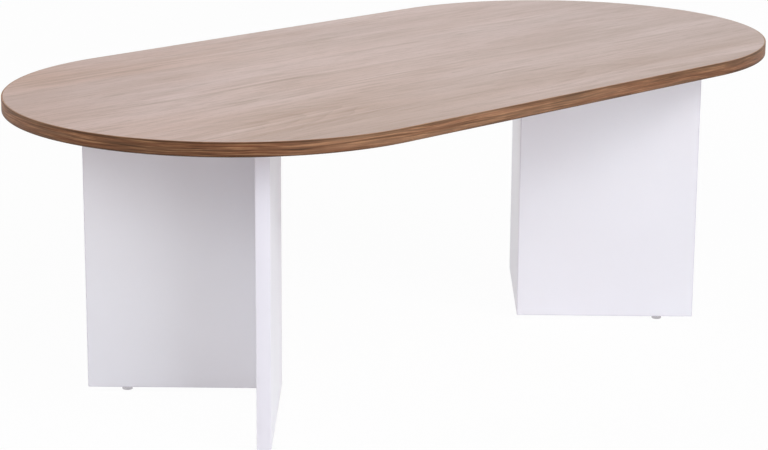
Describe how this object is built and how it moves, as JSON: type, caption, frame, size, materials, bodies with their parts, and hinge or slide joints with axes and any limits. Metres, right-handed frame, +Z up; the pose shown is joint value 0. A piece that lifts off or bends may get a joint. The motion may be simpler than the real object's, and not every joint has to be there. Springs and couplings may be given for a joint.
{
  "type": "coffee table",
  "caption": "Low coffee table with a walnut-faced racetrack top on two white V-shaped board legs with screw-in levelling feet.",
  "frame": {"origin": "on the floor, under the centre of the top", "axes": "+X along the top's length, towards the end whose leg is named right; +Y across the top; +Z up"},
  "size_m": [1.2, 0.6, 0.413],
  "materials": {
    "walnut_board": "satin",
    "walnut_band": "satin",
    "white_board": "matte",
    "white_band": "matte",
    "white_plastic": "matte",
    "zinc_casting": "matte",
    "plated_steel": "satin",
    "beech": "matte"
  },
  "bodies": {
    "table": {"top_board": "walnut_board", "top_edge_band": "walnut_band", "left_leg_through_panel": "white_board", "left_leg_through_edging": "white_band", "left_leg_butt_panel": "white_board", "left_leg_butt_edging": "white_band", "left_leg_through_inner_cam": "zinc_casting", "left_leg_through_inner_bolt": "plated_steel", "left_leg_through_inner_cap": "white_plastic", "left_leg_through_outer_cam": "zinc_casting", "left_leg_through_outer_bolt": "plated_steel", "left_leg_through_outer_cap": "white_plastic", "left_leg_butt_inner_cam": "zinc_casting", "left_leg_butt_inner_bolt": "plated_steel", "left_leg_butt_inner_cap": "white_plastic", "left_leg_butt_outer_cam": "zinc_casting", "left_leg_butt_outer_bolt": "plated_steel", "left_leg_butt_outer_cap": "white_plastic", "left_leg_corner_lower_cam": "zinc_casting", "left_leg_corner_lower_bolt": "plated_steel", "left_leg_corner_lower_cap": "white_plastic", "left_leg_corner_upper_cam": "zinc_casting", "left_leg_corner_upper_bolt": "plated_steel", "left_leg_corner_upper_cap": "white_plastic", "left_leg_lower_dowel": "beech", "left_leg_upper_dowel": "beech", "left_leg_through_insert": "zinc_casting", "left_leg_butt_insert": "zinc_casting", "right_leg_through_panel": "white_board", "right_leg_through_edging": "white_band", "right_leg_butt_panel": "white_board", "right_leg_butt_edging": "white_band", "right_leg_through_inner_cam": "zinc_casting", "right_leg_through_inner_bolt": "plated_steel", "right_leg_through_inner_cap": "white_plastic", "right_leg_through_outer_cam": "zinc_casting", "right_leg_through_outer_bolt": "plated_steel", "right_leg_through_outer_cap": "white_plastic", "right_leg_butt_inner_cam": "zinc_casting", "right_leg_butt_inner_bolt": "plated_steel", "right_leg_butt_inner_cap": "white_plastic", "right_leg_butt_outer_cam": "zinc_casting", "right_leg_butt_outer_bolt": "plated_steel", "right_leg_butt_outer_cap": "white_plastic", "right_leg_corner_lower_cam": "zinc_casting", "right_leg_corner_lower_bolt": "plated_steel", "right_leg_corner_lower_cap": "white_plastic", "right_leg_corner_upper_cam": "zinc_casting", "right_leg_corner_upper_bolt": "plated_steel", "right_leg_corner_upper_cap": "white_plastic", "right_leg_lower_dowel": "beech", "right_leg_upper_dowel": "beech", "right_leg_through_insert": "zinc_casting", "right_leg_butt_insert": "zinc_casting"},
    "left_leg_through_foot": {"left_leg_through_foot": "plated_steel"},
    "left_leg_butt_foot": {"left_leg_butt_foot": "plated_steel"},
    "right_leg_through_foot": {"right_leg_through_foot": "plated_steel"},
    "right_leg_butt_foot": {"right_leg_butt_foot": "plated_steel"}
  },
  "joints": [
    {"name": "left_leg_through_foot_screw", "type": "slide", "parent": "table", "child": "left_leg_through_foot", "axis": [0, 0, -1], "range_m": [0, 0.01]},
    {"name": "left_leg_butt_foot_screw", "type": "slide", "parent": "table", "child": "left_leg_butt_foot", "axis": [0, 0, -1], "range_m": [0, 0.01]},
    {"name": "right_leg_through_foot_screw", "type": "slide", "parent": "table", "child": "right_leg_through_foot", "axis": [0, 0, -1], "range_m": [0, 0.01]},
    {"name": "right_leg_butt_foot_screw", "type": "slide", "parent": "table", "child": "right_leg_butt_foot", "axis": [0, 0, -1], "range_m": [0, 0.01]}
  ]
}
